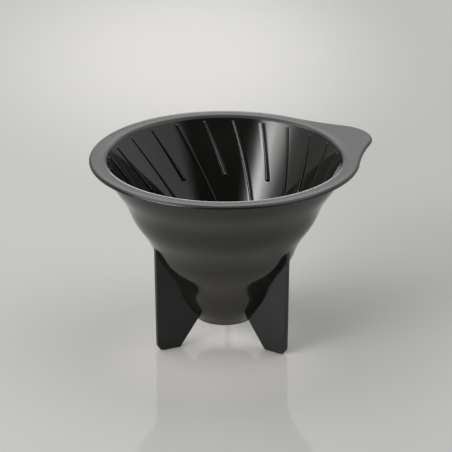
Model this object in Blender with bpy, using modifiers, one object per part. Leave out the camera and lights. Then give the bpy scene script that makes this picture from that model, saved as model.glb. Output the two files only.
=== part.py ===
"""Pour-over coffee dripper: a 60 degree ribbed cone with a wavy outside, a rim with a grip tab, an
outlet collar and three upright fins that stand it on a table.
Metres, +Z up, table at z = 0, grip tab towards +X."""

import math

import bmesh
import bpy
from mathutils import Vector

# ---- Driving dimensions -------------------------------------------------------------------------

RIM_TOP_Z = 0.0930  # highest edge of the rim above the table
FILTER_CONE_ANGLE = math.radians(60)  # full angle of the inside, for a conical paper filter
MOUTH_RADIUS = 0.0550  # inside of the cone where the rim's rounded edge begins
MOUTH_Z = 0.0921
OUTLET_Z = 0.0126  # underside of the outlet collar

# The outside is a slightly steeper cone that carries soft horizontal waves.
WAVE_MEAN_RADIUS = 0.0405
WAVE_MEAN_Z = 0.0600
WAVE_SLOPE = 0.5455
WAVE_HEIGHT = 0.00053
WAVE_CREST_Z = 0.0631
WAVE_PITCH = 0.0205

GAP = 0.0003  # clearance where two pieces meet

# Rim ring and grip tab
RIM_RADIUS = 0.0630
RIM_THICKNESS = 0.0025  # beside the cone
RIM_EDGE_THICKNESS = 0.0017  # at the outer edge
RIM_HUB_RADIUS = 0.0573  # from here the underside rises towards the outer edge
RIM_CROWN_RADIUS = 0.0597  # the highest line of the top
RIM_TOP_DROP = 0.00018  # the top slopes down this much from there to the sloping edge
RIM_EDGE_WIDTH = 0.0010  # sloping outer edge below its crisp upper corner, across
RIM_EDGE_HEIGHT = 0.00105  # and down
RIM_EDGE_BULGE = 0.00018  # how far that slope bulges outwards
RIM_FOOT_CHAMFER = 0.0003
RIM_LIP_Z = 0.0917  # underside of the lip that covers the cone's upper end
# The rounded inner edge of the top: distance outwards from MOUTH_RADIUS, depth below RIM_TOP_Z
MOUTH_ROUND = ((0.0004, 0.00062), (0.0011, 0.00033), (0.0021, 0.00013), (0.0032, 0.00004))
RIM_SHARP_ANGLE = math.radians(30)  # shading stays crisp over edges sharper than this
TAB_TIP_RADIUS = 0.0175
TAB_TIP_CENTRE = 0.0583  # from the cone's axis
TAB_SIDE_RADIUS = 0.120  # slightly hollow sides between the rim and the tip

# Cone: spigots that slide into the rim above and the collar below
CONE_TOP_Z = RIM_LIP_Z - GAP
UPPER_SPIGOT_WALL = 0.0011
UPPER_SHOULDER_Z = RIM_TOP_Z - RIM_THICKNESS - GAP
COLLAR_TOP_Z = 0.0169
LOWER_SHOULDER_Z = COLLAR_TOP_Z + GAP
LOWER_SPIGOT_WALL = 0.0014
LOWER_SPIGOT_Z = 0.0142
COLLAR_LIP_TOP_Z = LOWER_SPIGOT_Z - GAP  # top of the inner lip that the cone's spigot stands over
COLLAR_EDGE = 0.0004  # chamfer round the collar's underside

# Spiral ribs on the inside
RIB_PAIRS = 12  # a long and a short rib in each
RIB_TOP_Z = 0.0906
RIB_SHORT_END_Z = 0.0665
RIB_LONG_END_Z = 0.0210
RIB_SWIRL = 0.345  # sideways run per length of wall
RIB_RADIUS = 0.0011
RIB_TOP_TAPER = 0.45  # part of the radius that is left at the upper end
RIB_END_TAPER = 0.60  # and at its very lower end
RIB_SPACING = 0.0048  # height between the points of a rib

# Fins, standing at 60, 180 and 300 degrees from the tab
FIN_AZIMUTHS = {"fin_left": 60, "fin_rear": 180, "fin_right": 300}
FIN_THICKNESS = 0.0024
FIN_FOOT_INNER = 0.0237
FIN_FOOT_OUTER = 0.0354
FIN_TOP_OUTER = 0.0360
FIN_FOOT_OUTER_ROUND = 0.0036
FIN_FOOT_INNER_ROUND = 0.0012
FIN_HEEL_Z = 0.0130  # the fin's inner corner, beside the collar
FIN_EDGE_BEVEL = 0.0003
FIN_EDGE_ANGLE = math.radians(60)  # edges sharper than this are bevelled

# Tenons that hold each fin in blind pockets of the cone's thick wall, at two wave crests
TENON_LEVELS = (WAVE_CREST_Z - WAVE_PITCH, WAVE_CREST_Z - 2 * WAVE_PITCH)
TENON_DEPTH = 0.0019
TENON_HEIGHT = 0.0060
TENON_THICKNESS = 0.0012
TENON_ROOT = 0.0022  # how far it reaches back into the fin

# Fineness
CONE_STEPS = 72
RIM_STEPS = 120
COLLAR_STEPS = 60
WAVE_POINTS = 21
ARC_POINTS = 5
WELD = 0.000001
SEARCH_STEPS = 40

# The origin is under the middle of the whole outline, so the cone's axis stands behind it.
AXIS_X = -(TAB_TIP_CENTRE + TAB_TIP_RADIUS - RIM_RADIUS) / 2


# ---- Shape formulas -----------------------------------------------------------------------------


def inner_radius(z):
    """Inside of the filter cone at height z."""
    return MOUTH_RADIUS - (MOUTH_Z - z) * math.tan(FILTER_CONE_ANGLE / 2)


def outer_radius(z):
    """Wavy outside at height z."""
    wave = math.cos(2 * math.pi * (z - WAVE_CREST_Z) / WAVE_PITCH)
    return WAVE_MEAN_RADIUS + WAVE_SLOPE * (z - WAVE_MEAN_Z) + WAVE_HEIGHT * wave


def spread(start, end, count):
    """count evenly spaced numbers from start to end."""
    return [start + (end - start) * i / (count - 1) for i in range(count)]


def arc(centre_x, centre_y, radius, start_deg, end_deg, count=ARC_POINTS):
    """Points along a circular arc."""
    angles = [math.radians(a) for a in spread(start_deg, end_deg, count)]
    return [(centre_x + radius * math.cos(a), centre_y + radius * math.sin(a)) for a in angles]


def fillet(before, corner, after, radius):
    """The arc that rounds the corner between two straight edges."""
    before, corner, after = Vector(before), Vector(corner), Vector(after)
    along_in = (before - corner).normalized()
    along_out = (after - corner).normalized()
    half_angle = along_in.angle(along_out) / 2
    centre = corner + (along_in + along_out).normalized() * radius / math.sin(half_angle)
    start = (corner + along_in * radius / math.tan(half_angle) - centre).normalized()
    end = (corner + along_out * radius / math.tan(half_angle) - centre).normalized()
    return [tuple(centre + radius * start.slerp(end, t)) for t in spread(0, 1, ARC_POINTS)]


def rim_outline_radius(azimuth):
    """Distance from the axis to the edge of the rim and its tab, in the direction azimuth."""
    side_reach = RIM_RADIUS + TAB_SIDE_RADIUS
    tip_reach = TAB_TIP_RADIUS + TAB_SIDE_RADIUS
    side_x = (side_reach**2 - tip_reach**2 + TAB_TIP_CENTRE**2) / (2 * TAB_TIP_CENTRE)
    side_y = math.sqrt(side_reach**2 - side_x**2)
    azimuth = abs(math.remainder(azimuth, 2 * math.pi))
    if azimuth >= math.atan2(side_y, side_x):
        return RIM_RADIUS
    across = TAB_TIP_CENTRE * math.sin(azimuth)
    if azimuth > 0 and TAB_TIP_RADIUS > across:
        tip = TAB_TIP_CENTRE * math.cos(azimuth) + math.sqrt(TAB_TIP_RADIUS**2 - across**2)
    else:
        tip = TAB_TIP_CENTRE + TAB_TIP_RADIUS
    touch_x = TAB_TIP_CENTRE + (side_x - TAB_TIP_CENTRE) * TAB_TIP_RADIUS / tip_reach
    touch_y = side_y * TAB_TIP_RADIUS / tip_reach
    if azimuth <= math.atan2(touch_y, touch_x):
        return tip
    along = side_x * math.cos(azimuth) + side_y * math.sin(azimuth)
    off = side_x * math.sin(azimuth) - side_y * math.cos(azimuth)
    return along - math.sqrt(TAB_SIDE_RADIUS**2 - off**2)


# ---- Scene helpers ------------------------------------------------------------------------------


def clear_scene():
    for obj in list(bpy.data.objects):
        bpy.data.objects.remove(obj, do_unlink=True)


def new_collection(name):
    collection = bpy.data.collections.new(name)
    bpy.context.scene.collection.children.link(collection)
    return collection


def plastic(name, colour, roughness):
    """Black moulded plastic."""
    material = bpy.data.materials.new(name)
    material.use_nodes = True
    shader = material.node_tree.nodes["Principled BSDF"]
    shader.inputs["Base Color"].default_value = (*colour, 1.0)
    shader.inputs["Roughness"].default_value = roughness
    shader.inputs["Metallic"].default_value = 0.0
    return material


def add_object(name, data, collection, parent, material=None):
    obj = bpy.data.objects.new(name, data)
    collection.objects.link(obj)
    obj.parent = parent
    if material:
        obj.data.materials.append(material)
    return obj


def as_cutter(obj):
    obj.hide_render = True
    obj.display_type = "WIRE"
    return obj


def boolean(obj, other, operation):
    modifier = obj.modifiers.new(operation.title() + " " + other.name, "BOOLEAN")
    modifier.operation = operation
    modifier.solver = "EXACT"
    modifier.object = other


def turned(name, profile, steps, collection, parent, material):
    """A ring or shell turned from a closed (radius, height) profile that runs down its outer side."""
    mesh = bpy.data.meshes.new(name)
    points = bmesh.new()
    ring = [points.verts.new((r, 0, z)) for r, z in profile]
    for i, vert in enumerate(ring):
        points.edges.new((vert, ring[(i + 1) % len(ring)]))
    points.to_mesh(mesh)
    points.free()
    obj = add_object(name, mesh, collection, parent, material)
    screw = obj.modifiers.new("Turn", "SCREW")
    screw.steps = steps
    screw.render_steps = steps
    screw.use_merge_vertices = True
    screw.merge_threshold = WELD
    screw.use_smooth_shade = True
    return obj


def curve_as_mesh(name, curve, collection, parent):
    """The solid mesh of a curve, with its loose caps welded on."""
    guide = bpy.data.objects.new(name + "_curve", curve)
    collection.objects.link(guide)
    graph = bpy.context.evaluated_depsgraph_get()
    mesh = bpy.data.meshes.new_from_object(guide.evaluated_get(graph))
    mesh.name = name
    bpy.data.objects.remove(guide, do_unlink=True)
    welded = bmesh.new()
    welded.from_mesh(mesh)
    bmesh.ops.remove_doubles(welded, verts=welded.verts, dist=WELD)
    bmesh.ops.recalc_face_normals(welded, faces=welded.faces)
    welded.to_mesh(mesh)
    welded.free()
    return add_object(name, mesh, collection, parent)


def add_box(name, size, centre, azimuth, collection, parent):
    """A box turned to the direction azimuth, for a tenon or its pocket."""
    mesh = bpy.data.meshes.new(name)
    cube = bmesh.new()
    bmesh.ops.create_cube(cube, size=1)
    bmesh.ops.scale(cube, vec=size, verts=cube.verts)
    bmesh.ops.translate(cube, vec=centre, verts=cube.verts)
    cube.to_mesh(mesh)
    cube.free()
    obj = add_object(name, mesh, collection, parent)
    obj.rotation_euler.z = azimuth
    return obj


# ---- Pieces -------------------------------------------------------------------------------------


def make_ribs(collection, parent):
    """All spiral ribs as one tool: round rods half sunk in the wall, growing towards their lower ends."""
    curve = bpy.data.curves.new("ribs", "CURVE")
    curve.dimensions = "3D"
    curve.bevel_depth = RIB_RADIUS
    curve.bevel_resolution = 1
    curve.use_fill_caps = True
    for index in range(2 * RIB_PAIRS):
        start_azimuth = math.pi * index / RIB_PAIRS
        end_z = RIB_SHORT_END_Z if index % 2 else RIB_LONG_END_Z
        levels = spread(RIB_TOP_Z, end_z, round((RIB_TOP_Z - end_z) / RIB_SPACING))
        spline = curve.splines.new("POLY")
        spline.points.add(len(levels) - 1)
        for i, z in enumerate(levels):
            radius = inner_radius(z)
            run = math.log(inner_radius(RIB_TOP_Z) / radius) / math.sin(FILTER_CONE_ANGLE / 2)
            azimuth = start_azimuth - RIB_SWIRL * run
            spline.points[i].co = (radius * math.cos(azimuth), radius * math.sin(azimuth), z, 1)
            progress = i / (len(levels) - 1)
            spline.points[i].radius = RIB_TOP_TAPER + (1 - RIB_TOP_TAPER) * progress
        spline.points[-1].radius = RIB_END_TAPER
    return as_cutter(curve_as_mesh("ribs", curve, collection, parent))


def pocket_boxes(collection, parent):
    """One box for each tenon pocket in the cone's wall."""
    boxes = []
    for fin, degrees in FIN_AZIMUTHS.items():
        for number, level in enumerate(TENON_LEVELS):
            wall = outer_radius(level)
            depth = TENON_DEPTH + GAP
            length = depth + TENON_ROOT + GAP
            size = (length, TENON_THICKNESS + 2 * GAP, TENON_HEIGHT + 2 * GAP)
            centre = (wall - depth + length / 2, 0, level)
            name = f"{fin}_pocket_{number}"
            box = add_box(name, size, centre, math.radians(degrees), collection, parent)
            boxes.append(as_cutter(box))
    return boxes


def make_cone(parts, cutters, parent):
    """The filter cone: smooth and ribbed inside, wavy outside, with a spigot at each end."""
    outside = [(outer_radius(z), z) for z in spread(UPPER_SHOULDER_Z, LOWER_SHOULDER_Z, WAVE_POINTS)]
    profile = [
        (inner_radius(CONE_TOP_Z) + UPPER_SPIGOT_WALL, CONE_TOP_Z),
        (inner_radius(UPPER_SHOULDER_Z) + UPPER_SPIGOT_WALL, UPPER_SHOULDER_Z),
        *outside,
        (inner_radius(LOWER_SHOULDER_Z) + LOWER_SPIGOT_WALL, LOWER_SHOULDER_Z),
        (inner_radius(LOWER_SPIGOT_Z) + LOWER_SPIGOT_WALL, LOWER_SPIGOT_Z),
        (inner_radius(LOWER_SPIGOT_Z), LOWER_SPIGOT_Z),
        (inner_radius(CONE_TOP_Z), CONE_TOP_Z),
    ]
    material = plastic("cone_plastic", (0.012, 0.012, 0.013), 0.08)
    cone = turned("filter_cone", profile, CONE_STEPS, parts, parent, material)
    boolean(cone, make_ribs(cutters, parent), "UNION")
    for box in pocket_boxes(cutters, parent):
        boolean(cone, box, "DIFFERENCE")
    return cone


def rim_section(azimuth):
    """Closed (radius, height) section of the rim in one direction, running down its outer side."""
    edge = rim_outline_radius(azimuth)
    drop_z = RIM_TOP_Z - RIM_TOP_DROP
    edge_bottom_z = RIM_TOP_Z - RIM_EDGE_THICKNESS
    bottom_z = RIM_TOP_Z - RIM_THICKNESS
    bore = UPPER_SPIGOT_WALL + GAP
    return [
        (MOUTH_RADIUS, MOUTH_Z),
        *((MOUTH_RADIUS + across, RIM_TOP_Z - depth) for across, depth in MOUTH_ROUND),
        (RIM_CROWN_RADIUS, RIM_TOP_Z),
        (edge - RIM_EDGE_WIDTH, drop_z),
        (edge - RIM_EDGE_WIDTH / 2 + RIM_EDGE_BULGE, drop_z - RIM_EDGE_HEIGHT / 2 + RIM_EDGE_BULGE),
        (edge, drop_z - RIM_EDGE_HEIGHT),
        (edge, edge_bottom_z + RIM_FOOT_CHAMFER),
        (edge - RIM_FOOT_CHAMFER, edge_bottom_z),
        (RIM_HUB_RADIUS, bottom_z),
        (inner_radius(bottom_z) + bore, bottom_z),
        (inner_radius(RIM_LIP_Z) + bore, RIM_LIP_Z),
        (inner_radius(RIM_LIP_Z), RIM_LIP_Z),
    ]


def make_rim(parts, parent):
    """The rim ring with its grip tab: a loft, because its section widens at the tab."""
    mesh = bpy.data.meshes.new("rim")
    loft = bmesh.new()
    sections = []
    for step in range(RIM_STEPS):
        azimuth = 2 * math.pi * step / RIM_STEPS
        direction = Vector((math.cos(azimuth), math.sin(azimuth), 0))
        points = [direction * r + Vector((0, 0, z)) for r, z in rim_section(azimuth)]
        sections.append([loft.verts.new(point) for point in points])
    for here, there in zip(sections, sections[1:] + sections[:1]):
        for i in range(len(here)):
            j = (i + 1) % len(here)
            loft.faces.new((here[i], here[j], there[j], there[i]))
    bmesh.ops.recalc_face_normals(loft, faces=loft.faces)
    loft.to_mesh(mesh)
    loft.free()
    material = plastic("rim_plastic", (0.014, 0.014, 0.015), 0.2)
    rim = add_object("rim_with_tab", mesh, parts, parent, material)
    rim.data.shade_smooth()
    rim.data.set_sharp_from_angle(angle=RIM_SHARP_ANGLE)
    return rim


def make_collar(parts, parent):
    """The collar round the outlet: it slips over the cone's lower spigot and ends in the drip hole."""
    bore = LOWER_SPIGOT_WALL + GAP
    outside = [(outer_radius(z), z) for z in spread(COLLAR_TOP_Z, OUTLET_Z + COLLAR_EDGE, 3)]
    profile = [
        *outside,
        (outer_radius(OUTLET_Z) - COLLAR_EDGE, OUTLET_Z),
        (inner_radius(OUTLET_Z), OUTLET_Z),
        (inner_radius(COLLAR_LIP_TOP_Z), COLLAR_LIP_TOP_Z),
        (inner_radius(COLLAR_LIP_TOP_Z) + bore, COLLAR_LIP_TOP_Z),
        (inner_radius(COLLAR_TOP_Z) + bore, COLLAR_TOP_Z),
    ]
    material = plastic("collar_plastic", (0.012, 0.012, 0.013), 0.1)
    return turned("outlet_collar", profile, COLLAR_STEPS, parts, parent, material)


def fin_top_z():
    """Height where the fin's outer edge meets the cone."""
    low, high = WAVE_MEAN_Z - WAVE_PITCH, WAVE_MEAN_Z + WAVE_PITCH
    for _ in range(SEARCH_STEPS):
        middle = (low + high) / 2
        if outer_radius(middle) + GAP < FIN_TOP_OUTER:
            low = middle
        else:
            high = middle
    return low


def fin_outline():
    """(radius, height) outline: foot, outer edge, wavy edge along the cone, slanted inner edge."""
    foot_inner = (FIN_FOOT_INNER, 0)
    foot_outer = (FIN_FOOT_OUTER, 0)
    top = (FIN_TOP_OUTER, fin_top_z())
    heel = (outer_radius(FIN_HEEL_Z) + GAP, FIN_HEEL_Z)
    along_cone = [(outer_radius(z) + GAP, z) for z in spread(top[1], FIN_HEEL_Z, WAVE_POINTS)]
    return [
        *fillet(heel, foot_inner, foot_outer, FIN_FOOT_INNER_ROUND),
        *fillet(foot_inner, foot_outer, top, FIN_FOOT_OUTER_ROUND),
        *along_cone,
    ]


def make_fin(name, degrees, parts, cutters, parent):
    """One fin: a flat plate that follows the wavy cone, with two tenons in the cone's pockets."""
    azimuth = math.radians(degrees)
    curve = bpy.data.curves.new(name, "CURVE")
    curve.dimensions = "2D"
    curve.fill_mode = "BOTH"
    curve.extrude = FIN_THICKNESS / 2
    outline = fin_outline()
    spline = curve.splines.new("POLY")
    spline.points.add(len(outline) - 1)
    for point, (radius, z) in zip(spline.points, outline):
        point.co = (radius, z, 0, 1)
    spline.use_cyclic_u = True
    fin = curve_as_mesh(name, curve, parts, parent)
    fin.rotation_euler = (math.pi / 2, 0, azimuth)
    fin.data.materials.append(plastic(name + "_plastic", (0.012, 0.012, 0.013), 0.12))
    bevel = fin.modifiers.new("Edges", "BEVEL")
    bevel.width = FIN_EDGE_BEVEL
    bevel.segments = 1
    bevel.limit_method = "ANGLE"
    bevel.angle_limit = FIN_EDGE_ANGLE
    for number, level in enumerate(TENON_LEVELS):
        size = (TENON_DEPTH + TENON_ROOT, TENON_THICKNESS, TENON_HEIGHT)
        centre = (outer_radius(level) - TENON_DEPTH + size[0] / 2, 0, level)
        tenon = add_box(f"{name}_tenon_{number}", size, centre, azimuth, cutters, parent)
        boolean(fin, as_cutter(tenon), "UNION")
    return fin


def main():
    clear_scene()
    parts = new_collection("coffee_dripper")
    cutters = new_collection("cutters")
    axis = bpy.data.objects.new("cone_axis", None)
    parts.objects.link(axis)
    axis.location.x = AXIS_X
    make_cone(parts, cutters, axis)
    make_rim(parts, axis)
    make_collar(parts, axis)
    for name, degrees in FIN_AZIMUTHS.items():
        make_fin(name, degrees, parts, cutters, axis)


main()
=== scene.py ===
"""Looks for the pour-over coffee dripper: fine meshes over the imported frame, moulded black plastic, a pale
glossy table and soft studio light. Metres, +Z up, table at z = 0, grip tab towards +X."""

import math

import bmesh
import bpy
import numpy as np
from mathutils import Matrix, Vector


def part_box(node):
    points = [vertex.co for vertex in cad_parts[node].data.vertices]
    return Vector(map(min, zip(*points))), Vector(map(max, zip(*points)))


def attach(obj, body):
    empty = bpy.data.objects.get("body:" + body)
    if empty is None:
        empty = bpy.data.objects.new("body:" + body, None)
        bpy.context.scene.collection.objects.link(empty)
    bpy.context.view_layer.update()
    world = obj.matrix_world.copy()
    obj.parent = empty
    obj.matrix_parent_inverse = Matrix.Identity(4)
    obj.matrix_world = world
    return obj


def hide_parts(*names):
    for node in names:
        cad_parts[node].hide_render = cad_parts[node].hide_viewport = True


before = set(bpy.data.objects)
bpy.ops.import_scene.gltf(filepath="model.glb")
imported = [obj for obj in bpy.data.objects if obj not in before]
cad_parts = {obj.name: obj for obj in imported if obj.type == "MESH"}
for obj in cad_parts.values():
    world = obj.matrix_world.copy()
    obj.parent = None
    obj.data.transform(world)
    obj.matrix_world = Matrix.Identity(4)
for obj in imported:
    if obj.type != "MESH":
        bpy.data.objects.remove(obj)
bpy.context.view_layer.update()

# ---- The dripper's dimensions, as the CAD has them ----------------------------------------------

# Cone
MOUTH_RADIUS = 0.0550  # inside of the cone where the rim's rounded edge begins
MOUTH_Z = 0.0921
OUTLET_Z = 0.0126  # underside of the outlet collar
CONE_HALF_ANGLE = math.radians(30)  # of the inside

# The outside is a slightly steeper cone that carries soft horizontal waves.
WAVE_MEAN_RADIUS = 0.0405
WAVE_MEAN_Z = 0.0600
WAVE_SLOPE = 0.5455
WAVE_HEIGHT = 0.00053
WAVE_CREST_Z = 0.0631
WAVE_PITCH = 0.0205

# Rim ring and grip tab
RIM_TOP_Z = 0.0930  # the highest line of the top
RIM_RADIUS = 0.0630
RIM_THICKNESS = 0.0025  # beside the cone
RIM_EDGE_THICKNESS = 0.0017  # at the outer edge
RIM_HUB_RADIUS = 0.0573  # from here the underside rises towards the outer edge
RIM_CROWN_RADIUS = 0.0597  # of the highest line
RIM_TOP_DROP = 0.00018  # the top slopes down this much from there to the sloping edge
RIM_EDGE_WIDTH = 0.0010  # sloping outer edge below its crisp upper corner, across
RIM_EDGE_HEIGHT = 0.00105  # and down
# The rounded inner edge of the top: distance outwards from MOUTH_RADIUS, depth below RIM_TOP_Z
MOUTH_ROUND = ((0.0004, 0.00062), (0.0011, 0.00033), (0.0021, 0.00013), (0.0032, 0.00004))
TAB_TIP_RADIUS = 0.0175
TAB_TIP_CENTRE = 0.0583  # from the cone's axis
TAB_SIDE_RADIUS = 0.120  # slightly hollow sides between the rim and the tip

# Outlet collar
COLLAR_TOP_Z = 0.0169

# Spiral ribs on the inside: a long one, a short one, and so on round
RIB_COUNT = 24
RIB_TOP_Z = 0.0906
RIB_SHORT_END_Z = 0.0665
RIB_LONG_END_Z = 0.0210
RIB_SWIRL = 0.345  # sideways run per length of wall
RIB_HALF_WIDTH = 0.0011
RIB_TOP_TAPER = 0.45  # part of the half width that is left at the upper end

# Fins
FIN_AZIMUTHS = {"fin_left": 60, "fin_rear": 180, "fin_right": 300}  # degrees from the tab
FIN_THICKNESS = 0.0024
FIN_FOOT_INNER = 0.0237
FIN_FOOT_OUTER = 0.0354
FIN_TOP_OUTER = 0.0360
FIN_FOOT_OUTER_ROUND = 0.0036
FIN_FOOT_INNER_ROUND = 0.0012
FIN_HEEL_Z = 0.0130  # the fin's inner corner, beside the collar

# ---- Small shapes and fineness of the shown meshes ----------------------------------------------

# Cone. Its ends are hidden by the collar and the rim.
CONE_INSIDE_BOTTOM_Z = OUTLET_Z + 0.0005
CONE_OUTSIDE_BOTTOM_Z = OUTLET_Z + 0.0008
CONE_OUTSIDE_TOP_Z = RIM_TOP_Z - RIM_THICKNESS + 0.0008
CONE_OUTSIDE_ROWS = 110
ROW_STEP = 0.0006  # height between the rows of the inside
FINE_ROW_STEP = 0.00016  # and where ribs begin or end
FINE_ROWS_BEYOND = 0.0003  # the fine rows reach this far past the end of a rib
FINE_ROWS_ALONG = 0.0016  # and this far along the rib
LEAST_ROW_STEP = 0.00012
ROW_DIGITS = 6  # rows lie at whole micrometres

# Ribs. Their columns stand at these distances from a rib's middle line, in half widths.
RIB_SIDE_STATIONS = (1.3, 1.12, 0.98, 0.9, 0.78, 0.6, 0.38, 0.16)
RIB_STATIONS = np.array([*(-s for s in RIB_SIDE_STATIONS), 0.0, *reversed(RIB_SIDE_STATIONS)])
RIB_FOOT_REACH = 1.3  # outer end of the soft foot at each side, in half widths
RIB_FOOT_WIDTH = 0.5
RIB_FOOT_HEIGHT = 0.16
RIB_TOP_ROUND = 1.2 * RIB_TOP_TAPER * RIB_HALF_WIDTH  # length of the rounding at the upper end
RIB_ROOM = math.radians(5.0)  # most that a rib's half width may turn round the axis
GAP_COLUMNS = 7  # columns between neighbouring ribs

# Rim
RIM_COLUMNS = 480
RIM_CROWN_RUN = 0.0012  # the smooth curve of the top runs on this far past its highest line
RIM_TOP_SHARES = (0.7, 0.85)  # rows farther out, as shares of the way to the upper corner
RIM_CORNER_ROUND = 0.00006
RIM_CORNER_OUT = 0.8 * RIM_CORNER_ROUND  # the bend of the corner ends this far outwards
RIM_CORNER_DOWN = 0.6 * RIM_CORNER_ROUND  # and this far down
RIM_CORNER_POINTS = 4
RIM_SLOPE_IN = 0.0001  # the sloping edge bends towards a point this far inside the outline
RIM_SLOPE_DOWN = 0.0005  # and this far below the corner
RIM_SLOPE_POINTS = 9
RIM_FOOT_ROUND = 0.0003
RIM_FOOT_POINTS = 6
RIM_UNDERSIDE_SHARES = (0.35, 0.7)  # rows between the foot and the hub
RIM_SINK = 0.0004  # the hidden inner side lies this deep in the cone
RIM_LIP_WIDTH = 0.0003
RIM_LIP_DEPTH = 0.0002
CURVE_STEPS = 4  # pieces of a smooth curve between two of its given points

# Collar
COLLAR_COLUMNS = 240
COLLAR_PROUD = 0.00002  # it stands this much proud of the cone's surfaces
COLLAR_ROUND = 0.0005  # of its outer lower edge
COLLAR_ROWS = 24
COLLAR_CORNER_POINTS = 7
HOLE_LIP_WIDTH = 0.0004  # rounding of the hole's lower edge, across
HOLE_LIP_HEIGHT = 0.0006  # and up
HOLE_LIP_POINTS = 5
BORE_BOTTOM_Z = OUTLET_Z + 0.0010
BORE_TOP_Z = 0.0139
BORE_ROWS = 5
COLLAR_SHOULDER_Z = 0.0141  # of the inner end of its hidden upper side
COLLAR_SINK = 0.0008  # that side's ends lie this deep in the cone's wall

# Fins
FIN_SINK = 0.0006  # the inner edge is sunk this deep in the cone
FIN_SINK_BEGIN = 0.0004  # the sunk edge begins this far above the fin's top
FIN_SINK_END = 0.0009  # and ends this far above its heel
FIN_SUNK_POINTS = 60
FIN_TOP_TRIES = 4000  # heights tried for the place where the outer edge meets the cone
FIN_FOOT_INNER_POINTS = 9
FIN_FOOT_OUTER_POINTS = 17
FIN_EDGE_ROUND = 0.0004
FIN_EDGE_SEGMENTS = 4
FIN_SHARP_ANGLE = math.radians(35)  # shading stays crisp over edges sharper than this
ARC_PROFILE = 0.5  # a bevel of this profile is a circular arc

# ---- Finishes -----------------------------------------------------------------------------------

# Each moulding: base roughness, depth of the grain, depth of the slow waviness, colour, specular level
CONE_INSIDE_FINISH = {"roughness": 0.045, "grain": 0.0000015, "waviness": 0.00002,
                      "colour": (0.0050, 0.0050, 0.0044), "shine": 0.5}
CONE_OUTSIDE_FINISH = {"roughness": 0.12, "grain": 0.000003, "waviness": 0.00003,
                       "colour": (0.0065, 0.0060, 0.0053), "shine": 0.72}
RIM_FINISH = {"roughness": 0.19, "grain": 0.000006, "waviness": 0.00002,
              "colour": (0.0045, 0.0045, 0.0043), "shine": 0.5}
COLLAR_FINISH = {"roughness": 0.20, "grain": 0.000003, "waviness": 0.00002,
                 "colour": (0.0230, 0.0220, 0.0205), "shine": 0.75}
FIN_FINISH = {"roughness": 0.11, "grain": 0.000003, "waviness": 0.00004,
              "colour": (0.0032, 0.0032, 0.0030), "shine": 0.5}

PLASTIC_IOR = 1.5

# Patterns in the plastic: repeats per metre, detail, roughness of the pattern
FLOW_CLOUDS = (45.0, 3.0, 0.5)
HANDLING_MARKS = (90.0, 4.0, 0.6)
SPECKLES = (1400.0, 1.0, 0.5)
WAVINESS = (70.0, 1.0, 0.5)
GRAIN = (1800.0, 2.0, 0.5)

FLOW_CLOUD_RANGE = (0.35, 0.7)  # part of the pattern's values over which it takes effect
FLOW_CLOUD_LIGHTENING = 1.6
HANDLING_MARK_RANGE = (0.45, 0.75)
HANDLING_MARK_ROUGHENING = 0.035
SPECKLE_RANGE = (0.55, 0.8)
SPECKLE_ROUGHENING = 0.05

# Table. Places on it are given across and along the camera's line of sight, from the cone's axis.
TABLE_HALF = 6.0
TABLE_ROUGHNESS = 0.06
TABLE_IOR = 1.155
TABLE_PAINTED_LIGHT_FAR = (0.580, 0.575, 0.562)  # painted pool of light on the table, behind the dripper
TABLE_PAINTED_LIGHT_FAR_SPOT = (-0.025, 0.430)
TABLE_PAINTED_LIGHT_FAR_WIDTH = 0.625  # the spot's width, as a share of its length
TABLE_PAINTED_LIGHT_FAR_FADE = (0.03, 0.27)  # it fades between these distances from its middle
TABLE_NEAR = (0.425, 0.424, 0.417)
TABLE_CLOUDS = (3.0, 2.0, 0.5)
TABLE_CLOUD_RANGE = (0.3, 0.7)
TABLE_CLOUD_LIGHTENING = 1.02
# Painted shade: the table's colour darkens towards the right, where less light falls.
TABLE_PAINTED_SHADE_RIGHT = (0.382, 0.382, 0.376)
TABLE_PAINTED_SHADE_RIGHT_TURN = (-0.02, 0.085)  # it takes over between these distances to the right of the origin
TABLE_PAINTED_LIGHT_FOOT = (0.605, 0.592, 0.577)  # painted light under the dripper, between the fins, lifting the shade it casts
TABLE_PAINTED_LIGHT_FOOT_SPOT = (-0.003, -0.018)
TABLE_PAINTED_LIGHT_FOOT_FADE = (0.008, 0.066)

# ---- Light and camera ---------------------------------------------------------------------------

VIEW_TURN = math.radians(-25.56)  # the camera stands this far round from straight in front

# The light is painted by direction. Azimuths are in degrees from the right of the camera's view, heights
# are sines of the elevation, and a pair gives where a change begins and ends.
UP = (0, 0, 1)
RIGHT = (0, 0)  # azimuth and elevation
BACK = (90, 0)
LIGHT_COLOUR = (1.0, 0.995, 0.985, 1)
LIGHT_MAP_SIZE = 1024

DOME_LOW = 0.36  # brightness at the horizon
DOME_SIDE = 0.92  # and from the upper end of DOME_RISE
DOME_RISE = (0.0, 0.36)
DOME_LEFT_SHARE = 0.46
DOME_LEFT_TURN = (-0.95, -0.3)  # cosine of the angle from the right

# Lobes overhead at the left and the right, with none between them
OVERHEAD = 2.1
OVERHEAD_RISE = (0.66, 0.80)
OVERHEAD_APART = (0.05, 0.22)  # squared cosine of the angle from the right
OVERHEAD_RIGHT_SHARE = 0.5
OVERHEAD_RIGHT_TURN = (-0.3, 0.3)  # cosine of the angle from the right

# A panel behind the dripper, and a glow straight behind it
BACK_PANEL = 1.3
BACK_RISE = (20, 30)  # degrees of elevation
BACK_FALL = (50, 68)
BACK_TURN = (0.62, 0.86)  # cosine of the angle from the back
BACK_GLOW = 3.2
BACK_GLOW_TURN = (0.9835, 0.9985)

# The dark room behind the camera
ROOM = (274, 22)  # azimuth and elevation of its middle
ROOM_EDGE = (51, 33)  # degrees from its middle
ROOM_LEVEL = 0.05

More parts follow.
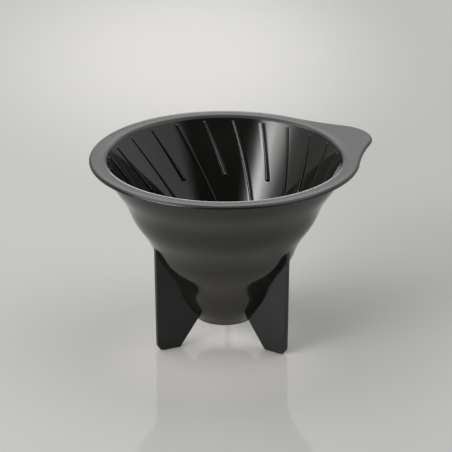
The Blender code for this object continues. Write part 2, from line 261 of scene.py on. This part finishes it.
# The softbox at the left, brighter in a low strip. Turns are in degrees round from SOFTBOX_AZIMUTH.
SOFTBOX_AZIMUTH = 219
SOFTBOX_RADIANCE = 14.5
SOFTBOX_RISE = (11, 17)  # degrees of elevation
SOFTBOX_FALL = (33, 39)
SOFTBOX_FRONT = (0.1, 0.3)  # cosine of the angle from SOFTBOX_AZIMUTH: nothing shines from behind it
# Brightness across the softbox: turn, share of SOFTBOX_RADIANCE
SOFTBOX_ACROSS = (
    (-55, 0.0), (-49, 0.007), (-45, 0.011), (-41, 0.014), (-37, 0.02), (-33, 0.033), (-29, 0.050),
    (-25, 0.10), (-21, 0.166), (-17, 0.26), (-13, 0.357), (-9, 0.463), (-5, 0.66), (-1, 0.78),
    (3, 0.80), (7, 0.71), (11, 0.47), (15, 0.24), (19, 0.16), (24, 0.06), (30, 0.0),
)
RAMP_FIRST_ELEMENTS = 2  # that a new colour ramp already has
STRIP_RADIANCE = 7.5
STRIP_BEGIN = (-32, -26)
STRIP_END = (-12, -5)
STRIP_RISE = (14, 17)  # degrees of elevation
STRIP_FALL = (23, 26)

CAMERA_LENS = 183.37
CAMERA_SENSOR = 36.0
CAMERA_SHIFT_Y = 0.0011
CAMERA_CLIP = (0.05, 20.0)
CAMERA_PLACE = (0.00067, -1.0, 0.47562)  # across, along and up, from the cone's axis
CAMERA_DOWN = 22.70  # degrees

# ---- Shape formulas -----------------------------------------------------------------------------

cone_low, cone_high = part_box("filter_cone")
AXIS_X = (cone_low.x + cone_high.x) / 2  # the cone's axis


def inner_radius(z):
    """Inside of the filter cone at height z."""
    return MOUTH_RADIUS - (MOUTH_Z - z) * math.tan(CONE_HALF_ANGLE)


def outer_radius(z):
    """Outside of the wavy cone at height z."""
    wave = np.cos(2 * math.pi * (z - WAVE_CREST_Z) / WAVE_PITCH)
    return WAVE_MEAN_RADIUS + WAVE_SLOPE * (z - WAVE_MEAN_Z) + WAVE_HEIGHT * wave


def rim_outline_radius(azimuth):
    """Distance from the axis to the edge of the rim and its tab, in the direction azimuth."""
    side_reach = RIM_RADIUS + TAB_SIDE_RADIUS
    tip_reach = TAB_TIP_RADIUS + TAB_SIDE_RADIUS
    side_x = (side_reach**2 - tip_reach**2 + TAB_TIP_CENTRE**2) / (2 * TAB_TIP_CENTRE)
    side_y = math.sqrt(side_reach**2 - side_x**2)
    azimuth = abs(math.remainder(azimuth, 2 * math.pi))
    if azimuth >= math.atan2(side_y, side_x):
        return RIM_RADIUS
    across = TAB_TIP_CENTRE * math.sin(azimuth)
    touch_x = TAB_TIP_CENTRE + (side_x - TAB_TIP_CENTRE) * TAB_TIP_RADIUS / tip_reach
    touch_y = side_y * TAB_TIP_RADIUS / tip_reach
    if azimuth <= math.atan2(touch_y, touch_x):
        return TAB_TIP_CENTRE * math.cos(azimuth) + math.sqrt(TAB_TIP_RADIUS**2 - across**2)
    along = side_x * math.cos(azimuth) + side_y * math.sin(azimuth)
    off = side_x * math.sin(azimuth) - side_y * math.cos(azimuth)
    return along - math.sqrt(TAB_SIDE_RADIUS**2 - off**2)


# ---- Mesh helpers -------------------------------------------------------------------------------


def face_outwards(mesh):
    """Turns the faces of a closed mesh outwards."""
    tool = bmesh.new()
    tool.from_mesh(mesh)
    bmesh.ops.recalc_face_normals(tool, faces=tool.faces)
    tool.to_mesh(mesh)
    tool.free()


def torus_mesh(name, points, materials, material_of_row=None):
    """A closed mesh from points[row, column], where rows and columns both run round and join up."""
    rows, columns = points.shape[:2]
    index = np.arange(rows * columns).reshape(rows, columns)
    down, across = np.roll(index, -1, axis=0), np.roll(index, -1, axis=1)
    diagonal = np.roll(down, -1, axis=1)
    quads = np.stack([index, across, diagonal, down], axis=-1).reshape(-1, 4)
    mesh = bpy.data.meshes.new(name)
    mesh.vertices.add(rows * columns)
    mesh.vertices.foreach_set("co", points.astype(np.float32).ravel())
    mesh.loops.add(quads.size)
    mesh.loops.foreach_set("vertex_index", quads.astype(np.int32).ravel())
    mesh.polygons.add(len(quads))
    mesh.polygons.foreach_set("loop_start", np.arange(0, quads.size, 4, dtype=np.int32))
    if material_of_row is not None:
        mesh.polygons.foreach_set("material_index", np.repeat(material_of_row, columns).astype(np.int32))
    mesh.update(calc_edges=True)
    mesh.validate()
    mesh.shade_smooth()
    for material in materials:
        mesh.materials.append(material)
    face_outwards(mesh)
    return mesh


def add_piece(name, mesh, node):
    """A shown piece in place of the CAD node."""
    piece = bpy.data.objects.new(name, mesh)
    bpy.context.scene.collection.objects.link(piece)
    piece.location.x = AXIS_X
    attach(piece, "root")
    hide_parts(node)
    return piece


def lathe_points(profile, azimuths):
    """points[row, column] of a (radius, height) profile turned about the axis."""
    radius, height = np.array(profile).T
    points = np.empty((len(profile), len(azimuths), 3))
    points[..., 0] = radius[:, None] * np.cos(azimuths)
    points[..., 1] = radius[:, None] * np.sin(azimuths)
    points[..., 2] = height[:, None]
    return points


def bend(start, corner, end, count):
    """A smooth turn from start to end that leaves towards corner and arrives from it."""
    t = np.linspace(0, 1, count)[:, None]
    start, corner, end = np.array(start), np.array(corner), np.array(end)
    return list(map(tuple, (1 - t) ** 2 * start + 2 * t * (1 - t) * corner + t**2 * end))


def smooth_through(points):
    """A smooth curve through the points, in CURVE_STEPS pieces from each to the next."""
    knots = np.array(points)
    ends = np.array([2 * knots[0] - knots[1], 2 * knots[-1] - knots[-2]])
    padded = np.vstack([ends[:1], knots, ends[1:]])
    line = []
    for before, start, end, after in zip(padded, padded[1:], padded[2:], padded[3:]):
        leave, arrive = (end - before) / 2, (after - start) / 2
        for t in np.arange(CURVE_STEPS) / CURVE_STEPS:
            line.append(tuple((1 + 2 * t) * (1 - t) ** 2 * start + t * (1 - t) ** 2 * leave
                              + t**2 * (3 - 2 * t) * end - t**2 * (1 - t) * arrive))
    return [*line, tuple(points[-1])]


def fillet(before, corner, after, radius, count):
    """The arc that rounds the corner between two straight edges."""
    before, corner, after = Vector(before), Vector(corner), Vector(after)
    along_in = (before - corner).normalized()
    along_out = (after - corner).normalized()
    half_angle = along_in.angle(along_out) / 2
    centre = corner + (along_in + along_out).normalized() * radius / math.sin(half_angle)
    start = (corner + along_in * radius / math.tan(half_angle) - centre).normalized()
    end = (corner + along_out * radius / math.tan(half_angle) - centre).normalized()
    return [tuple(centre + radius * start.slerp(end, i / (count - 1))) for i in range(count)]


# ---- Node helpers and materials -----------------------------------------------------------------


class Nodes:
    """Short calls for building a node tree."""

    def __init__(self, tree, coordinate):
        self.tree = tree
        self.place = self.add("ShaderNodeTexCoord").outputs[coordinate]

    def add(self, kind, inputs=None, **settings):
        """A node whose inputs are linked, where a socket is given, or set to the value given."""
        node = self.tree.nodes.new(kind)
        for key, value in settings.items():
            setattr(node, key, value)
        for key, value in (inputs or {}).items():
            if isinstance(value, bpy.types.NodeSocket):
                self.tree.links.new(value, node.inputs[key])
            else:
                node.inputs[key].default_value = value
        return node

    def noise(self, scale, detail, roughness):
        """A cloudy pattern of values about 0.5."""
        inputs = {"Vector": self.place, "Scale": scale, "Detail": detail, "Roughness": roughness}
        return self.add("ShaderNodeTexNoise", inputs).outputs["Fac"]

    def remap(self, value, span, start, end, kind="LINEAR"):
        """start where value is below the span, end where it is above, and in between over the span."""
        inputs = {"Value": value, "From Min": span[0], "From Max": span[1], "To Min": start, "To Max": end}
        return self.add("ShaderNodeMapRange", inputs, interpolation_type=kind).outputs["Result"]

    def smooth(self, value, span, start, end):
        """The same, with a gentle beginning and end."""
        return self.remap(value, span, start, end, "SMOOTHSTEP")

    def maths(self, operation, *values):
        return self.add("ShaderNodeMath", dict(enumerate(values)), operation=operation).outputs[0]

    def total(self, result, *others):
        for value in others:
            result = self.maths("ADD", result, value)
        return result

    def product(self, result, *others):
        for value in others:
            result = self.maths("MULTIPLY", result, value)
        return result

    def measure(self, operation, *vectors):
        """A number from vectors, such as their dot product."""
        node = self.add("ShaderNodeVectorMath", dict(enumerate(vectors)), operation=operation)
        return node.outputs["Value"]


class MaterialNodes(Nodes):
    """A new material and short calls for its nodes."""

    def __init__(self, name):
        self.material = bpy.data.materials.new(name)
        self.material.use_nodes = True
        super().__init__(self.material.node_tree, "Object")
        self.shader = self.tree.nodes["Principled BSDF"]

    def mix(self, share, a, b):
        """A colour between a and b. The colour sockets of this node can only be told apart by number."""
        return self.add("ShaderNodeMix", {0: share, 6: a, 7: b}, data_type="RGBA").outputs[2]

    def bump(self, height, distance, normal=None):
        """The surface's direction with a relief of this depth, on top of an earlier one if given."""
        inputs = {"Height": height, "Distance": distance, "Strength": 1.0}
        if normal is not None:
            inputs["Normal"] = normal
        return self.add("ShaderNodeBump", inputs).outputs["Normal"]

    def plug(self, socket, value):
        """Links value to the shader."""
        self.tree.links.new(value, self.shader.inputs[socket])

    def set(self, socket, value):
        """Sets a value of the shader that is the same all over the surface."""
        self.shader.inputs[socket].default_value = value


def rgba(colour, lightening=1.0):
    """The colour with an alpha of 1, as sockets take it, and lightened by a factor."""
    return (*(lightening * share for share in colour), 1)


def moulded_plastic(name, roughness, grain, waviness, colour, shine):
    """Glossy black moulded plastic: faint flow clouds, a fine grain, and a film of handling marks."""
    nodes = MaterialNodes(name)
    clouds = nodes.remap(nodes.noise(*FLOW_CLOUDS), FLOW_CLOUD_RANGE, 0.0, 1.0)
    nodes.plug("Base Color", nodes.mix(clouds, rgba(colour), rgba(colour, FLOW_CLOUD_LIGHTENING)))
    marks = nodes.remap(nodes.noise(*HANDLING_MARKS), HANDLING_MARK_RANGE, 0.0, HANDLING_MARK_ROUGHENING)
    speckles = nodes.remap(nodes.noise(*SPECKLES), SPECKLE_RANGE, 0.0, SPECKLE_ROUGHENING)
    nodes.plug("Roughness", nodes.total(marks, speckles, roughness))
    waves = nodes.bump(nodes.noise(*WAVINESS), waviness)
    nodes.plug("Normal", nodes.bump(nodes.noise(*GRAIN), grain, waves))
    nodes.set("IOR", PLASTIC_IOR)
    nodes.set("Specular IOR Level", shine)
    return nodes.material


# ---- Cone ---------------------------------------------------------------------------------------


def rib_section(s):
    """Height of a rib across its width, s running from -1 to 1, with a soft foot on each side."""
    s = np.abs(s)
    dome = np.sqrt(np.clip(1 - s**2, 0, 1))
    foot = RIB_FOOT_HEIGHT * np.clip((RIB_FOOT_REACH - s) / RIB_FOOT_WIDTH, 0, 1) ** 2
    return np.maximum(dome, foot)


def rib_half_width(z, end_z):
    """Half the width of a rib at height z: it grows from the upper to the lower end."""
    progress = np.clip((RIB_TOP_Z - z) / (RIB_TOP_Z - end_z), 0, 1)
    return (RIB_TOP_TAPER + (1 - RIB_TOP_TAPER) * progress) * RIB_HALF_WIDTH


def end_round(z, end_z):
    """1 along a rib, falling to 0 in a quarter circle at both of its ends."""
    top = np.clip((RIB_TOP_Z - z) / RIB_TOP_ROUND, 0, 1)
    low = np.clip((z - end_z) / RIB_HALF_WIDTH, 0, 1)
    return np.sqrt(1 - (1 - top) ** 2) * np.sqrt(1 - (1 - low) ** 2)


def inside_levels():
    """Heights of the inside rows, from the mouth down: close together where the ribs begin and end."""
    coarse = np.arange(CONE_INSIDE_BOTTOM_Z, MOUTH_Z, ROW_STEP)
    upper = np.arange(RIB_TOP_Z - FINE_ROWS_ALONG, RIB_TOP_Z + FINE_ROWS_BEYOND, FINE_ROW_STEP)
    lower = [np.arange(z - FINE_ROWS_BEYOND, z + FINE_ROWS_ALONG, FINE_ROW_STEP)
             for z in (RIB_SHORT_END_Z, RIB_LONG_END_Z)]
    levels = np.concatenate([coarse, upper, *lower, [CONE_INSIDE_BOTTOM_Z, MOUTH_Z]])
    levels = np.unique(np.round(levels, ROW_DIGITS))
    kept = [levels[0]]
    for z in levels[1:-1]:
        if z - kept[-1] > LEAST_ROW_STEP and levels[-1] - z > LEAST_ROW_STEP:
            kept.append(z)
    return np.array([*kept, levels[-1]])[::-1]


def rib_columns(z, wall):
    """Azimuth before the swirl, and height above the wall, of each of the cone's columns in the rows at z."""
    pitch = 2 * math.pi / RIB_COUNT
    ends = (RIB_LONG_END_Z, RIB_SHORT_END_Z)
    widths = [rib_half_width(z, end_z) for end_z in ends]
    turns = [np.minimum(width / wall, RIB_ROOM) for width in widths]
    azimuths, heights = [], []
    for rib in range(RIB_COUNT):
        kind = rib % len(ends)
        for s in RIB_STATIONS:
            azimuths.append(rib * pitch + turns[kind] * s)
            heights.append(widths[kind] * rib_section(s) * end_round(z, ends[kind]))
        first = rib * pitch + turns[kind] * RIB_STATIONS[-1]
        last = (rib + 1) * pitch + turns[1 - kind] * RIB_STATIONS[0]
        for share in np.arange(1, GAP_COLUMNS + 1) / (GAP_COLUMNS + 1):
            azimuths.append(first + (last - first) * share)
            heights.append(np.zeros_like(z))
    return np.stack(azimuths, axis=1), np.stack(heights, axis=1)


def cone_points():
    """The cone's inside, running down with the ribs, then its wavy outside, running up. Also returns the
    number of inside rows."""
    inside_z = inside_levels()
    outside_z = np.linspace(CONE_OUTSIDE_BOTTOM_Z, CONE_OUTSIDE_TOP_Z, CONE_OUTSIDE_ROWS)
    z = np.concatenate([inside_z, outside_z])
    inside = np.arange(len(z)) < len(inside_z)
    wall = inner_radius(z)
    swirl = RIB_SWIRL * np.log(inner_radius(RIB_TOP_Z) / wall) / math.sin(CONE_HALF_ANGLE)
    azimuth, height = rib_columns(z, wall)
    azimuth -= swirl[:, None]
    height[~inside] = 0
    radius = np.where(inside, wall, outer_radius(z))[:, None] - height * math.cos(CONE_HALF_ANGLE)
    points = np.empty((*azimuth.shape, 3))
    points[..., 0] = radius * np.cos(azimuth)
    points[..., 1] = radius * np.sin(azimuth)
    points[..., 2] = z[:, None] + height * math.sin(CONE_HALF_ANGLE)
    return points, len(inside_z)


def make_cone():
    """The cone, with a glossier finish inside than outside."""
    points, inside_rows = cone_points()
    inside = moulded_plastic("cone_inside_plastic", **CONE_INSIDE_FINISH)
    outside = moulded_plastic("cone_outside_plastic", **CONE_OUTSIDE_FINISH)
    row_material = np.where(np.arange(len(points)) < inside_rows - 1, 0, 1)
    mesh = torus_mesh("cone_body", points, [inside, outside], row_material)
    add_piece("cone_body", mesh, "filter_cone")


# ---- Rim ----------------------------------------------------------------------------------------


def rim_section(azimuth):
    """Closed (radius, height) section of the rim in one direction, running outwards over its top."""
    edge = rim_outline_radius(azimuth)
    corner = edge - RIM_EDGE_WIDTH
    level = corner - RIM_CROWN_RADIUS
    corner_z = RIM_TOP_Z - RIM_TOP_DROP
    foot_z = RIM_TOP_Z - RIM_EDGE_THICKNESS
    bottom_z = RIM_TOP_Z - RIM_THICKNESS
    sunk = float(outer_radius(bottom_z)) - RIM_SINK
    crown = smooth_through([
        (MOUTH_RADIUS, MOUTH_Z),
        *((MOUTH_RADIUS + across, RIM_TOP_Z - depth) for across, depth in MOUTH_ROUND),
        (RIM_CROWN_RADIUS, RIM_TOP_Z),
        (RIM_CROWN_RADIUS + RIM_CROWN_RUN, RIM_TOP_Z - RIM_CROWN_RUN * RIM_TOP_DROP / level),
    ])
    top = [(RIM_CROWN_RADIUS + level * share, RIM_TOP_Z - RIM_TOP_DROP * share) for share in RIM_TOP_SHARES]
    turn = bend((corner - RIM_CORNER_ROUND, corner_z), (corner, corner_z),
                (corner + RIM_CORNER_OUT, corner_z - RIM_CORNER_DOWN), RIM_CORNER_POINTS)
    slope = bend((corner + RIM_CORNER_ROUND, corner_z - RIM_CORNER_ROUND),
                 (edge - RIM_SLOPE_IN, corner_z - RIM_SLOPE_DOWN),
                 (edge, corner_z - RIM_EDGE_HEIGHT), RIM_SLOPE_POINTS)
    foot = bend((edge, foot_z + RIM_FOOT_ROUND), (edge, foot_z), (edge - RIM_FOOT_ROUND, foot_z),
                RIM_FOOT_POINTS)
    underside = [(edge - RIM_FOOT_ROUND + (RIM_HUB_RADIUS - edge) * share,
                  foot_z + (bottom_z - foot_z) * share) for share in RIM_UNDERSIDE_SHARES]
    hidden = [(RIM_HUB_RADIUS, bottom_z), (sunk, bottom_z), (sunk, MOUTH_Z - RIM_SINK),
              (MOUTH_RADIUS + RIM_LIP_WIDTH, MOUTH_Z - RIM_LIP_DEPTH)]
    return crown + top + turn + slope + foot + underside + hidden


def make_rim():
    """The rim ring and its grip tab."""
    azimuths = np.linspace(0, 2 * math.pi, RIM_COLUMNS, endpoint=False)
    columns = [lathe_points(rim_section(azimuth), np.array([azimuth]))[:, 0] for azimuth in azimuths]
    plastic = moulded_plastic("rim_satin_plastic", **RIM_FINISH)
    mesh = torus_mesh("rim_plate", np.stack(columns, axis=1), [plastic])
    add_piece("rim_plate", mesh, "rim_with_tab")


# ---- Collar -------------------------------------------------------------------------------------


def collar_profile():
    """Closed (radius, height) section of the collar, running down its outside and up its bore."""
    foot_z = OUTLET_Z + COLLAR_ROUND
    foot = float(outer_radius(foot_z))
    outside = [(float(outer_radius(z)) + COLLAR_PROUD, z)
               for z in np.linspace(COLLAR_TOP_Z, foot_z, COLLAR_ROWS)]
    corner = bend(outside[-1], (foot, OUTLET_Z), (foot - COLLAR_ROUND, OUTLET_Z), COLLAR_CORNER_POINTS)
    hole = inner_radius(OUTLET_Z)
    lip_z = OUTLET_Z + HOLE_LIP_HEIGHT
    lip = bend((hole + HOLE_LIP_WIDTH, OUTLET_Z), (hole, OUTLET_Z),
               (inner_radius(lip_z) - COLLAR_PROUD, lip_z), HOLE_LIP_POINTS)
    bore = [(inner_radius(z) - COLLAR_PROUD, z) for z in np.linspace(BORE_BOTTOM_Z, BORE_TOP_Z, BORE_ROWS)]
    hidden = [(inner_radius(BORE_TOP_Z) + COLLAR_SINK, COLLAR_SHOULDER_Z),
              (float(outer_radius(COLLAR_TOP_Z)) - COLLAR_SINK, COLLAR_TOP_Z)]
    return outside + corner[1:] + lip + bore + hidden


def make_collar():
    """The ring round the drip hole, which covers the cone's lower end."""
    azimuths = np.linspace(0, 2 * math.pi, COLLAR_COLUMNS, endpoint=False)
    plastic = moulded_plastic("collar_plastic", **COLLAR_FINISH)
    mesh = torus_mesh("outlet_ring", lathe_points(collar_profile(), azimuths), [plastic])
    add_piece("outlet_ring", mesh, "outlet_collar")


# ---- Fins ---------------------------------------------------------------------------------------


def fin_outline():
    """(radius, height) outline: foot, outer edge, and the edge sunk in the wavy cone."""
    levels = np.linspace(WAVE_MEAN_Z - WAVE_PITCH, WAVE_MEAN_Z + WAVE_PITCH, FIN_TOP_TRIES)
    top_z = float(levels[np.searchsorted(outer_radius(levels), FIN_TOP_OUTER)])
    foot_inner = (FIN_FOOT_INNER, 0)
    foot_outer = (FIN_FOOT_OUTER, 0)
    top = (FIN_TOP_OUTER, top_z)
    heel = (float(outer_radius(FIN_HEEL_Z)), FIN_HEEL_Z)
    sunk_levels = np.linspace(top_z + FIN_SINK_BEGIN, FIN_HEEL_Z + FIN_SINK_END, FIN_SUNK_POINTS)
    return [
        *fillet(heel, foot_inner, foot_outer, FIN_FOOT_INNER_ROUND, FIN_FOOT_INNER_POINTS),
        *fillet(foot_inner, foot_outer, top, FIN_FOOT_OUTER_ROUND, FIN_FOOT_OUTER_POINTS),
        top,
        *((float(outer_radius(z)) - FIN_SINK, z) for z in sunk_levels),
        heel,
    ]


def fin_mesh(name, azimuth, material):
    """A flat plate with softly rounded edges."""
    outline = fin_outline()
    tool = bmesh.new()
    along = Vector((math.cos(azimuth), math.sin(azimuth), 0))
    across = Vector((-math.sin(azimuth), math.cos(azimuth), 0))
    sides = []
    for side in (-1, 1):
        offset = across * side * FIN_THICKNESS / 2
        sides.append([tool.verts.new(along * r + offset + Vector((0, 0, z))) for r, z in outline])
    tool.faces.new(sides[0])
    tool.faces.new(sides[1])
    for i in range(len(outline)):
        j = (i + 1) % len(outline)
        tool.faces.new((sides[0][i], sides[0][j], sides[1][j], sides[1][i]))
    bmesh.ops.recalc_face_normals(tool, faces=tool.faces)
    rims = [edge for edge in tool.edges if any(all(vert in side for vert in edge.verts) for side in sides)]
    bmesh.ops.bevel(tool, geom=rims, offset=FIN_EDGE_ROUND, segments=FIN_EDGE_SEGMENTS,
                    profile=ARC_PROFILE, affect="EDGES", clamp_overlap=True)
    mesh = bpy.data.meshes.new(name)
    tool.to_mesh(mesh)
    tool.free()
    mesh.shade_smooth()
    mesh.set_sharp_from_angle(angle=FIN_SHARP_ANGLE)
    mesh.materials.append(material)
    return mesh


def make_fins():
    """The three fins that the dripper stands on."""
    plastic = moulded_plastic("fin_plastic", **FIN_FINISH)
    for node, degrees in FIN_AZIMUTHS.items():
        name = node.replace("fin_", "stand_fin_")
        mesh = fin_mesh(name, math.radians(degrees), plastic)
        piece = add_piece(name, mesh, node)
        weighted = piece.modifiers.new("Weighted normals", "WEIGHTED_NORMAL")
        weighted.keep_sharp = True


# ---- Table, light and camera --------------------------------------------------------------------


def from_view(x, y, z):
    """A point given across and along the camera's line of sight, from the cone's axis."""
    c, s = math.cos(VIEW_TURN), math.sin(VIEW_TURN)
    return Vector((AXIS_X + x * c - y * s, x * s + y * c, z))


def toward(azimuth, elevation):
    """Direction from the table, with the azimuth counted from the right of the camera's view."""
    a, e = math.radians(azimuth) + VIEW_TURN, math.radians(elevation)
    return (math.cos(a) * math.cos(e), math.sin(a) * math.cos(e), math.sin(e))


def table_with_painted_light():
    """Pale grey with a thin gloss and very faintly cloudy, with painted light and shade: a painted pool of
    light far behind the dripper, painted light between its fins, and painted shade towards the right."""
    nodes = MaterialNodes("table_with_painted_light")
    stretched = nodes.add("ShaderNodeMapping", {
        "Vector": nodes.place,
        "Location": from_view(*TABLE_PAINTED_LIGHT_FAR_SPOT, 0),
        "Rotation": (0, 0, VIEW_TURN),
        "Scale": (TABLE_PAINTED_LIGHT_FAR_WIDTH, 1, 1),
    }, vector_type="TEXTURE")
    from_painted_light_pool = nodes.measure("LENGTH", stretched.outputs[0])
    across = nodes.measure("DOT_PRODUCT", nodes.place, from_view(1, 0, 0) - from_view(0, 0, 0))
    from_painted_foot_light = nodes.measure("DISTANCE", nodes.place, from_view(*TABLE_PAINTED_LIGHT_FOOT_SPOT, 0))

    clouds = nodes.remap(nodes.noise(*TABLE_CLOUDS), TABLE_CLOUD_RANGE, 0.0, 1.0)
    near = nodes.mix(clouds, rgba(TABLE_NEAR), rgba(TABLE_NEAR, TABLE_CLOUD_LIGHTENING))
    # Painted shade: darker towards the right.
    near = nodes.mix(nodes.smooth(across, TABLE_PAINTED_SHADE_RIGHT_TURN, 0.0, 1.0), near, rgba(TABLE_PAINTED_SHADE_RIGHT))
    # Painted pool of light: the table is lighter far behind the dripper.
    ground = nodes.mix(nodes.smooth(from_painted_light_pool, TABLE_PAINTED_LIGHT_FAR_FADE, 0.0, 1.0), rgba(TABLE_PAINTED_LIGHT_FAR), near)
    # Painted light: the table is lighter under the dripper, between the fins, lifting its shade.
    lit = nodes.mix(nodes.smooth(from_painted_foot_light, TABLE_PAINTED_LIGHT_FOOT_FADE, 1.0, 0.0), ground, rgba(TABLE_PAINTED_LIGHT_FOOT))
    nodes.plug("Base Color", lit)
    nodes.set("Roughness", TABLE_ROUGHNESS)
    nodes.set("IOR", TABLE_IOR)
    return nodes.material


def make_table():
    """A large square table top."""
    mesh = bpy.data.meshes.new("table")
    corners = [(x * TABLE_HALF, y * TABLE_HALF, 0) for x, y in ((-1, -1), (1, -1), (1, 1), (-1, 1))]
    mesh.from_pydata(corners, [], [(0, 1, 2, 3)])
    mesh.materials.append(table_with_painted_light())
    table = bpy.data.objects.new("table", mesh)
    bpy.context.scene.collection.objects.link(table)


class Sky(Nodes):
    """A new world and short calls for its light, which depends on the direction."""

    def __init__(self, name):
        self.world = bpy.data.worlds.new(name)
        self.world.use_nodes = True
        self.world.node_tree.nodes.clear()
        super().__init__(self.world.node_tree, "Generated")
        self.height = self.facing(UP)

    def facing(self, direction):
        """Cosine of the angle from direction."""
        return self.measure("DOT_PRODUCT", self.place, direction)

    def band(self, value, rise, fall, level=1.0):
        """level between the spans rise and fall, and 0 beyond them."""
        return self.product(self.smooth(value, rise, 0.0, level), self.smooth(value, fall, 1.0, 0.0))


def sines(angles):
    """Heights of directions at these elevations, in degrees."""
    return [math.sin(math.radians(angle)) for angle in angles]


def room_light(sky):
    """The dome, the lobes overhead and the light from the back, with the dark room cut out of them."""
    sideways = sky.facing(toward(*RIGHT))
    backwards = sky.facing(toward(*BACK))
    dome = sky.product(sky.smooth(sky.height, DOME_RISE, DOME_LOW, DOME_SIDE),
                       sky.smooth(sideways, DOME_LEFT_TURN, DOME_LEFT_SHARE, 1.0))
    overhead = sky.product(sky.smooth(sky.height, OVERHEAD_RISE, 0.0, OVERHEAD),
                           sky.smooth(sky.product(sideways, sideways), OVERHEAD_APART, 0.0, 1.0),
                           sky.smooth(sideways, OVERHEAD_RIGHT_TURN, 1.0, OVERHEAD_RIGHT_SHARE))
    panel = sky.product(sky.band(sky.height, sines(BACK_RISE), sines(BACK_FALL), BACK_PANEL),
                        sky.smooth(backwards, BACK_TURN, 0.0, 1.0))
    glow = sky.smooth(backwards, BACK_GLOW_TURN, 0.0, BACK_GLOW)
    edge = [math.cos(math.radians(angle)) for angle in ROOM_EDGE]
    dark = sky.smooth(sky.facing(toward(*ROOM)), edge, 0.0, 1.0)
    bright = sky.product(sky.total(dome, overhead, panel, glow), sky.maths("SUBTRACT", 1.0, dark))
    return sky.total(bright, sky.product(dark, ROOM_LEVEL))


def softbox_light(sky):
    """The softbox and the strip, both uneven across."""
    ahead = sky.facing(toward(SOFTBOX_AZIMUTH, 0))
    aside = sky.facing(toward(SOFTBOX_AZIMUTH + 90, 0))
    turn = sky.product(sky.maths("ARCTAN2", aside, ahead), 180 / math.pi)
    front = sky.smooth(ahead, SOFTBOX_FRONT, 0.0, 1.0)

    first, last = SOFTBOX_ACROSS[0][0], SOFTBOX_ACROSS[-1][0]
    ramp = sky.add("ShaderNodeValToRGB", {0: sky.remap(turn, (first, last), 0.0, 1.0)})
    elements = ramp.color_ramp.elements
    for number, (degrees, share) in enumerate(SOFTBOX_ACROSS):
        position = (degrees - first) / (last - first)
        element = elements[number] if number < RAMP_FIRST_ELEMENTS else elements.new(position)
        element.position = position
        element.color = (share, share, share, 1)
    upright = sky.band(sky.height, sines(SOFTBOX_RISE), sines(SOFTBOX_FALL))
    box = sky.product(ramp.outputs[0], front, upright, SOFTBOX_RADIANCE)

    strip = sky.product(sky.band(turn, STRIP_BEGIN, STRIP_END, STRIP_RADIANCE),
                        sky.band(sky.height, sines(STRIP_RISE), sines(STRIP_FALL)), front)
    return sky.total(box, strip)


def make_world():
    """Soft studio light all round, painted by direction."""
    sky = Sky("studio")
    strength = sky.total(room_light(sky), softbox_light(sky))
    background = sky.add("ShaderNodeBackground", {"Color": LIGHT_COLOUR, "Strength": strength})
    sky.add("ShaderNodeOutputWorld", {"Surface": background.outputs[0]})
    sky.world.cycles.sampling_method = "MANUAL"
    sky.world.cycles.sample_map_resolution = LIGHT_MAP_SIZE
    bpy.context.scene.world = sky.world


def make_camera():
    """A long lens at the photograph's angle."""
    data = bpy.data.cameras.new("camera")
    data.lens = CAMERA_LENS
    data.sensor_width = CAMERA_SENSOR
    data.shift_y = CAMERA_SHIFT_Y
    data.clip_start, data.clip_end = CAMERA_CLIP
    camera = bpy.data.objects.new("camera", data)
    bpy.context.scene.collection.objects.link(camera)
    camera.location = from_view(*CAMERA_PLACE)
    camera.rotation_euler = (math.radians(90 - CAMERA_DOWN), 0, VIEW_TURN)
    bpy.context.scene.camera = camera


make_cone()
make_rim()
make_collar()
make_fins()
make_table()
make_world()
make_camera()
bpy.context.scene.view_settings.view_transform = "Standard"
